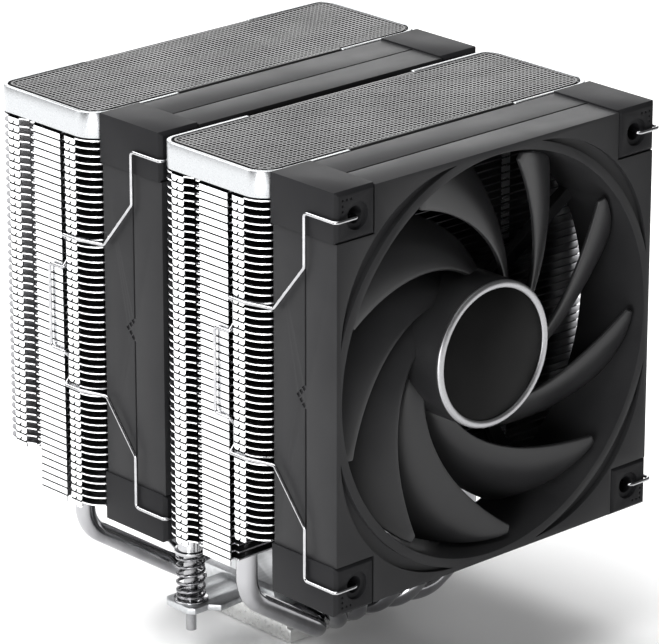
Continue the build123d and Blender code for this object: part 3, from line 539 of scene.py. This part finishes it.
# %% One fin sheet
def fin_sheet(cut=None):
    """A fin's flat sheet. cut is (place along y, direction that is cut away) for the short fins."""
    bm = bmesh.new()
    rim = [bm.verts.new((x, y, 0)) for x, y in fin_outline]
    for first, second in zip(rim, rim[1:] + rim[:1]):
        bm.edges.new((first, second))
    for x, y in pipe_places:
        hole = Matrix.Translation((x, y, 0))
        bmesh.ops.create_circle(bm, segments=20, radius=PIPE_R, cap_ends=False, matrix=hole)
    bmesh.ops.triangle_fill(bm, use_beauty=True, edges=bm.edges, normal=(0, 0, 1))
    if cut:
        everything = bm.verts[:] + bm.edges[:] + bm.faces[:]
        place, direction = cut
        bmesh.ops.bisect_plane(
            bm, geom=everything, plane_co=(0, place, 0), plane_no=(0, direction, 0), clear_outer=True
        )
    bmesh.ops.solidify(bm, geom=bm.faces[:], thickness=FIN_THICK)
    return bm


# %% [markdown]
# A fold is a thin tab hanging from the edge. The tabs of the two narrow columns have a small slanted
# notch and clipped corners where they hook over the next fin, and the wide tabs are plain.

# %% Folded tabs
FOLD_DROP = FIN_PITCH - 0.09
FOLD_THICK = 0.4


def tab(bm, sign, outline):
    """A folded tab on one side, from (y, z) points below the fin."""
    x = sign * TOWER_HALF_X
    order = outline[::-1] if sign > 0 else outline
    face = bm.faces.new([bm.verts.new((x, y, z)) for y, z in order])
    bm.normal_update()
    bmesh.ops.solidify(bm, geom=[face], thickness=FOLD_THICK)


def plaited_tab(start, end):
    """A tab with a slanted notch in its lower edge and clipped lower corners."""
    middle = (start + end) / 2
    notch = [
        (middle + 0.75, -FOLD_DROP),
        (middle + 0.05, -FOLD_DROP + 0.95),
        (middle - 0.35, -FOLD_DROP + 0.75),
        (middle + 0.05, -FOLD_DROP),
    ]
    low_end = [(end, -FOLD_DROP + 0.6), (end - 0.5, -FOLD_DROP)]
    low_start = [(start + 0.5, -FOLD_DROP), (start, -FOLD_DROP + 0.6)]
    return [(start, 0), (end, 0), *low_end, *notch, *low_start]


def plain_tab(start, end):
    """A plain folded strip."""
    return [(start, 0), (end, 0), (end, -FOLD_DROP), (start, -FOLD_DROP)]


# %% Build one fin with its tabs
FRONT_TAB = (26.1, 29.1)


def add_tabs(bm, short):
    """Hangs the side tabs, and the two front tabs, on a fin sheet. short is None, front or rear."""
    tabs = [plain_tab(GROOVE[1], RECESS[0])]
    if short != "front":
        tabs.append(plaited_tab(7.7, GROOVE[0]))
    if short != "rear":
        tabs.append(plaited_tab(RECESS[1], 36.9))
    for outline in tabs:
        for sign in (-1, 1):
            tab(bm, sign, outline)
    if short != "front":
        for sign in (-1, 1):
            low, high = sorted(sign * x for x in FRONT_TAB)
            corners = ((low, -FOLD_DROP), (high, -FOLD_DROP), (high, 0), (low, 0))
            face = bm.faces.new([bm.verts.new((x, 0, z)) for x, z in corners])
            bm.normal_update()
            bmesh.ops.solidify(bm, geom=[face], thickness=FOLD_THICK)


# %% [markdown]
# Stacking: the finished fin is stored once and copied down the pipes at the fin pitch. The lowest few
# fins of each tower are cut short to leave room for the pipe bends. The sheets' flat faces and their
# thin front edges get a darker copy of the fin metal than the folds and side edges: painted shade for
# the light lost deep between two sheets and in the fan's shadow.

# %% Stack the fins
SHORT_CUT = {"front": (12.5, -1), "rear": (25.8, 1)}


def stored_fin(short):
    """One fin as a mesh that can be added again and again."""
    bm = fin_sheet(SHORT_CUT[short] if short else None)
    add_tabs(bm, short)
    bmesh.ops.recalc_face_normals(bm, faces=bm.faces)
    bmesh.ops.translate(bm, verts=bm.verts, vec=(0, 0, FIN_THICK / 2))
    mesh = bpy.data.meshes.new("fin")
    bm.to_mesh(mesh)
    bm.free()
    return mesh


for tower, front in TOWER_FRONT.items():
    full = stored_fin(None)
    short = stored_fin(tower)
    stack = bmesh.new()
    for row in range(FIN_COUNT[tower]):
        already = len(stack.verts)
        stack.from_mesh(full if row < FIN_COUNT[tower] - SHORT_FINS[tower] else short)
        stack.verts.ensure_lookup_table()
        drop = Vector((0, front, TOP_FIN_Z - row * FIN_PITCH))
        bmesh.ops.translate(stack, verts=stack.verts[already:], vec=drop)
    bmesh.ops.triangulate(stack, faces=[f for f in stack.faces if len(f.verts) > 4])
    # Painted shade: flat sheet faces and thin front edges take the darker fin metal, for light lost
    # between sheets and in the fan's shadow.
    for face in stack.faces:
        lengths = [edge.calc_length() for edge in face.edges]
        flat = abs(face.normal.z) > 0.9
        front_edge = face.normal.y < -0.95 and min(lengths) < 1.5 * FIN_THICK
        face.material_index = 1 if flat or front_edge else 0
    fin_stack = finish_piece(stack, f"{tower}_fin_stack", f"{tower}_fins", crease=30, outward=False)
    fin_stack.data.materials.append(finishes["fin_painted_shade"])

# %% [markdown]
# ## Top covers
# Each black cover is punched with a fine grid of small round holes inside a plain rim. The rim is
# the CAD cover with a window opened in its top, and the perforated plate lies just below it, made of
# square cells with a hole sunk in the middle of each.

# %% Cover rims
RIM = 1.0
RIM_LIP = 0.3
RIM_EDGE = 0.28
TRIM_START = 31.5
cover_top = node_box("front_cover")[1].z
for tower in TOWER_FRONT:
    cover = cad_copy(f"{tower}_cover")
    top = [f for f in cover.faces if f.normal.z > 0.99 and f.calc_center_median().z > cover_top - 0.05]
    bmesh.ops.inset_region(cover, faces=top, thickness=RIM, use_even_offset=True)
    bmesh.ops.delete(cover, geom=top, context="FACES_KEEP_BOUNDARY")
    window = [e for e in cover.edges if e.is_boundary]
    lip = bmesh.ops.extrude_edge_only(cover, edges=window)
    lip_verts = [v for v in lip["geom"] if isinstance(v, bmesh.types.BMVert)]
    bmesh.ops.translate(cover, verts=lip_verts, vec=(0, 0, -RIM_LIP))
    round_edges(cover, RIM_EDGE)
    # Painted shade: past the middle, the rim's side faces take the near-black finish, standing in for
    # the shadowed gap beside each trim.
    for face in cover.faces:
        past_middle = abs(face.calc_center_median().x) > TRIM_START
        face.material_index = 1 if past_middle and face.normal.z < 0.95 else 0
    rim = finish_piece(cover, f"{tower}_cover_rim", f"{tower}_cover", outward=False)
    rim.data.materials.append(finishes["painted_shade_black"])

# %% [markdown]
# One cell is a small square whose middle is inset, its corners cut off, and pushed down. The cells
# are laid out row by row, and those outside the window are dropped, so the grid stops at the rim.

# %% Cover plate
CELL = 1.48
HOLE_INSET = 0.24
HOLE_CORNER = 0.28
HOLE_DEPTH = 0.7
HOLE_TAPER = 0.03
PLATE_DROP = 0.04
END_SETBACK = 1.9
MIDDLE_SETBACK = 0.9
UNDER_RIM = 0.3
WINDOW_HALF_X = TOWER_HALF_X - END_SETBACK - RIM + UNDER_RIM
WINDOW_HALF_Y = TOWER_DEPTH / 2 - END_SETBACK - RIM + UNDER_RIM
MIDDLE_X = 31.0
MIDDLE_HALF_Y = TOWER_DEPTH / 2 - MIDDLE_SETBACK - RIM + UNDER_RIM
CORNER = 4.5


def inside_window(x, y):
    """True if a cell centre lies in the rounded window, with its wider middle."""
    x, y = abs(x), abs(y)
    if x < MIDDLE_X:
        return y < MIDDLE_HALF_Y
    past_x = x - (WINDOW_HALF_X - CORNER)
    past_y = y - (WINDOW_HALF_Y - CORNER)
    if past_x > 0 and past_y > 0:
        return hypot(past_x, past_y) < CORNER
    return x < WINDOW_HALF_X and y < WINDOW_HALF_Y


cell = bmesh.new()
bmesh.ops.create_grid(cell, x_segments=1, y_segments=1, size=CELL / 2)
hole = cell.faces[:]
bmesh.ops.inset_individual(cell, faces=hole, thickness=HOLE_INSET, use_even_offset=True)
bmesh.ops.bevel(
    cell,
    geom=hole[0].verts[:],
    offset=HOLE_CORNER,
    segments=1,
    profile=0.5,
    affect="VERTICES",
    material=-1,
)
middle = min(cell.faces, key=lambda face: face.calc_center_median().length + face.calc_area() * 0.01)
around = set(cell.faces) - {middle}
bmesh.ops.inset_individual(
    cell, faces=[middle], thickness=HOLE_TAPER, depth=-HOLE_DEPTH, use_even_offset=True
)
# Painted shade: the sunk middle and its walls take the near-black finish, for the dark inside each hole.
for face in set(cell.faces) - around:
    face.material_index = 1
cell_mesh = bpy.data.meshes.new("cover_cell")
cell.to_mesh(cell_mesh)
cell.free()
print("one cell of the cover plate:", len(cell_mesh.polygons), "faces")


def copies_of(mesh, places):
    """A bmesh with one copy of a mesh at each place."""
    many = bmesh.new()
    for place in places:
        already = len(many.verts)
        many.from_mesh(mesh)
        many.verts.ensure_lookup_table()
        bmesh.ops.translate(many, verts=many.verts[already:], vec=place)
    return many


columns = int(WINDOW_HALF_X / CELL) + 1
rows = int(MIDDLE_HALF_Y / CELL) + 1
cell_row = copies_of(cell_mesh, [(column * CELL, 0, 0) for column in range(-columns, columns + 1)])
row_mesh = bpy.data.meshes.new("cover_row")
cell_row.to_mesh(row_mesh)
cell_row.free()
for tower, front in TOWER_FRONT.items():
    plate = copies_of(row_mesh, [(0, row * CELL, 0) for row in range(-rows, rows + 1)])
    outside = []
    for face in plate.faces:
        x, y = face.calc_center_median().xy
        if not inside_window(CELL * round(x / CELL), CELL * round(y / CELL)):
            outside.append(face)
    bmesh.ops.delete(plate, geom=outside, context="FACES")
    bmesh.ops.remove_doubles(plate, verts=plate.verts, dist=0.02)
    place = (0, front + TOWER_DEPTH / 2, cover_top - PLATE_DROP)
    bmesh.ops.translate(plate, verts=plate.verts, vec=place)
    cover_plate = finish_piece(plate, f"{tower}_cover_plate", f"{tower}_cover", crease=25, outward=False)
    cover_plate.data.materials.append(finishes["painted_shade_black"])

# %% [markdown]
# ## Rotors
# A fan blade is a thin shell that sweeps forwards as it goes out and twists as it goes back. A flat
# grid is laid out as radius by chord, each of its points is moved onto the blade, and the shell is
# then given thickness and a round edge.

# %% The shape of a blade
HUB_R = 21.0
TIP_R = 56.3
ROOT_R = 20.3
BLADES = 9
BLADE_PHASE = 13.0
BLADE_SWEEP = 81.5
BLADE_SWEEP_EASE = 12.4
CHORD_ANGLE = 33.0
BLADE_BACK = 20.0
FRONT_AT_ROOT = 10.4
FRONT_AT_TIP = 2.3
CAMBER = 0.09
BLADE_THICK = 1.3


def blade_point(span, chord):
    """A point of the blade's front skin, in the fan's frame: x right, y up, z towards the viewer."""
    tip = TIP_R - 2.4 * max(0, 1 - chord / 0.12) ** 2 - 1.0 * max(0, 1 - (1 - chord) / 0.1) ** 2
    radius = ROOT_R + (tip - ROOT_R) * span
    turn = log(radius / HUB_R)
    lead = BLADE_PHASE + BLADE_SWEEP * turn - BLADE_SWEEP_EASE * turn**2
    share = (radius - HUB_R) / (TIP_R - HUB_R)
    front = FRONT_AT_ROOT + (FRONT_AT_TIP - FRONT_AT_ROOT) * (0.6 * share + 0.4 * share**2)
    half_chord = radius * tan(radians(CHORD_ANGLE / 2))
    half_rise = (BLADE_BACK - front) / 2
    length = hypot(half_chord, half_rise)
    bulge = 2 * length * CAMBER * 4 * chord * (1 - chord)
    across = half_chord * (1 - 2 * chord) - bulge * half_rise / length
    height = half_rise * (1 - 2 * chord) + bulge * half_chord / length
    angle = radians(lead - CHORD_ANGLE / 2) + across / radius
    return Vector((radius * cos(angle), radius * sin(angle), -(front + BLADE_BACK) / 2 + height))


# %% One blade
SPAN_STEPS = 20
CHORD_STEPS = 12


def one_blade():
    """A blade as a mesh, thickened and round-edged."""
    bm = bmesh.new()
    bmesh.ops.create_grid(bm, x_segments=SPAN_STEPS, y_segments=CHORD_STEPS, size=0.5)
    for vert in bm.verts:
        vert.co = blade_point(vert.co.x + 0.5, vert.co.y + 0.5)
    bmesh.ops.recalc_face_normals(bm, faces=bm.faces)
    if sum(f.normal.z for f in bm.faces) < 0:
        bmesh.ops.reverse_faces(bm, faces=bm.faces)
    bmesh.ops.solidify(bm, geom=bm.faces[:], thickness=BLADE_THICK)
    round_edges(bm, 0.42, sharper_than=60, segments=3)
    bmesh.ops.recalc_face_normals(bm, faces=bm.faces)
    mesh = bpy.data.meshes.new("blade")
    bm.to_mesh(mesh)
    bm.free()
    return mesh


blade_mesh = one_blade()
print("blade faces", len(blade_mesh.polygons))

# %% [markdown]
# The hub is a cup turned round the fan's axis, so its profile is spun. The open back hides the motor.
# The blades are copied round it at equal angles.


# %% Spin a profile round the fan's axis
def spun(profile, steps=96):
    """A full turn of (radius, depth) points round the fan's axis, in the fan's frame."""
    bm = bmesh.new()
    line = [bm.verts.new((radius, 0, -depth)) for radius, depth in profile]
    edges = [bm.edges.new(pair) for pair in zip(line, line[1:])]
    bmesh.ops.spin(
        bm,
        geom=line + edges,
        cent=(0, 0, 0),
        axis=(0, 0, 1),
        angle=2 * pi,
        steps=steps,
        use_merge=True,
        use_duplicate=False,
    )
    bmesh.ops.remove_doubles(bm, verts=bm.verts, dist=0.001)
    return bm


def into_fan(bm, fan):
    """Moves a mesh from the fan's own frame to its place in the cooler."""
    upright = Matrix(((1, 0, 0, 0), (0, 0, -1, FAN_FACE[fan]), (0, 1, 0, FAN_Z), (0, 0, 0, 1)))
    bmesh.ops.transform(bm, matrix=upright, verts=bm.verts)


# %% Rotors: hub cup and nine blades
HUB_PROFILE = (
    (0.0, 2.4),
    (20.6, 2.4),
    (20.9, 2.5),
    (21.0, 2.8),
    (21.0, 19.8),
    (20.8, 20.2),
    (19.6, 20.2),
    (19.4, 20.0),
    (19.4, 4.4),
    (3.0, 4.4),
    (3.0, 5.9),
    (1.5, 5.9),
    (1.5, 4.4),
    (0.0, 4.4),
)
for fan in FANS:
    rotor = spun(HUB_PROFILE)
    for number in range(BLADES):
        rotor.verts.ensure_lookup_table()
        already = len(rotor.verts)
        rotor.from_mesh(blade_mesh)
        rotor.verts.ensure_lookup_table()
        turn = Matrix.Rotation(2 * pi * number / BLADES, 3, "Z")
        bmesh.ops.rotate(rotor, verts=rotor.verts[already:], cent=(0, 0, 0), matrix=turn)
    into_fan(rotor, fan)
    finish_piece(rotor, f"{fan}_rotor_moulding", f"{fan}_rotor", crease=40)

# %% [markdown]
# The hub carries a turned silver ring with a soft shoulder, and inside it a thin black disc. The disc
# is left plain.

# %% Hub rings and discs
RING_PROFILE = (
    (18.85, 2.4),
    (18.85, 1.75),
    (19.1, 1.45),
    (19.6, 1.3),
    (20.2, 1.3),
    (20.7, 1.5),
    (21.0, 1.9),
    (21.0, 2.4),
    (18.85, 2.4),
)
DISC_PROFILE = ((0.0, 2.4), (18.8, 2.4), (18.8, 2.0), (18.65, 1.9), (0.0, 1.9))
for fan in FANS:
    ring = spun(RING_PROFILE)
    into_fan(ring, fan)
    finish_piece(ring, f"{fan}_hub_ring_turned", f"{fan}_hub_ring")
    disc = spun(DISC_PROFILE)
    into_fan(disc, fan)
    finish_piece(disc, f"{fan}_hub_disc", f"{fan}_hub_label")

# %% [markdown]
# ## Studio
# A pale floor, a dim even surround and four soft boxes: a large one overhead, a tall one on the left
# that the bright metal sides mirror, a small low one at the front left and one behind to the right.

# %% Floor and lights
bpy.ops.mesh.primitive_plane_add(size=6, location=(0, 0, -0.0004))
floor = bpy.context.object
floor.name = "floor"
floor_finish, _, _, _ = new_finish("studio_floor", (0.92, 0.92, 0.92), 0.0, 0.8)
floor.data.materials.append(floor_finish)

world = bpy.data.worlds.new("studio")
bpy.context.scene.world = world
world.use_nodes = True
surround = world.node_tree.nodes["Background"]
surround.inputs["Color"].default_value = (1.0, 1.0, 1.0, 1)
surround.inputs["Strength"].default_value = 0.12


def soft_box(name, place, aim, size, power):
    """A rectangular soft light pointed at a place, in metres."""
    light = bpy.data.lights.new(name, "AREA")
    light.shape = "RECTANGLE"
    light.size, light.size_y = size
    light.energy = power
    holder = bpy.data.objects.new(name, light)
    holder.location = place
    holder.rotation_euler = (Vector(aim) - Vector(place)).to_track_quat("-Z", "Y").to_euler()
    bpy.context.collection.objects.link(holder)
    return holder


CENTRE = (0, -0.01, 0.09)
soft_box("overhead", (-0.5, 0.6, 1.8), CENTRE, (2.6, 2.6), 118)
soft_box("left_wall", (-1.1, 0.6, 0.5), CENTRE, (0.6, 0.9), 3)
soft_box("low_front", (-0.5, -0.32, 0.10), CENTRE, (0.2, 0.16), 1.6)
soft_box("back_glow", (0.9, 1.0, 0.55), CENTRE, (1.1, 0.6), 6)

# %% [markdown]
# The camera stands well back with a long lens, to the left of the front fan and a little above it, so
# that the front, the left side and the top are all seen.

# %% Camera
AIM = Vector((-25.5, -41.5, 105.4)) * MM
AZIMUTH = radians(-42.61)
ELEVATION = radians(20.15)
DISTANCE = 1.2364
camera_data = bpy.data.cameras.new("camera")
camera_data.lens = 246.36
camera_data.sensor_width = 36
camera = bpy.data.objects.new("camera", camera_data)
away = Vector((sin(AZIMUTH) * cos(ELEVATION), -cos(AZIMUTH) * cos(ELEVATION), sin(ELEVATION)))
camera.location = AIM + DISTANCE * away
camera.rotation_euler = (-away).to_track_quat("-Z", "Y").to_euler()
bpy.context.collection.objects.link(camera)
bpy.context.scene.camera = camera
bpy.context.scene.view_settings.view_transform = "Standard"
print("camera at", camera.location)
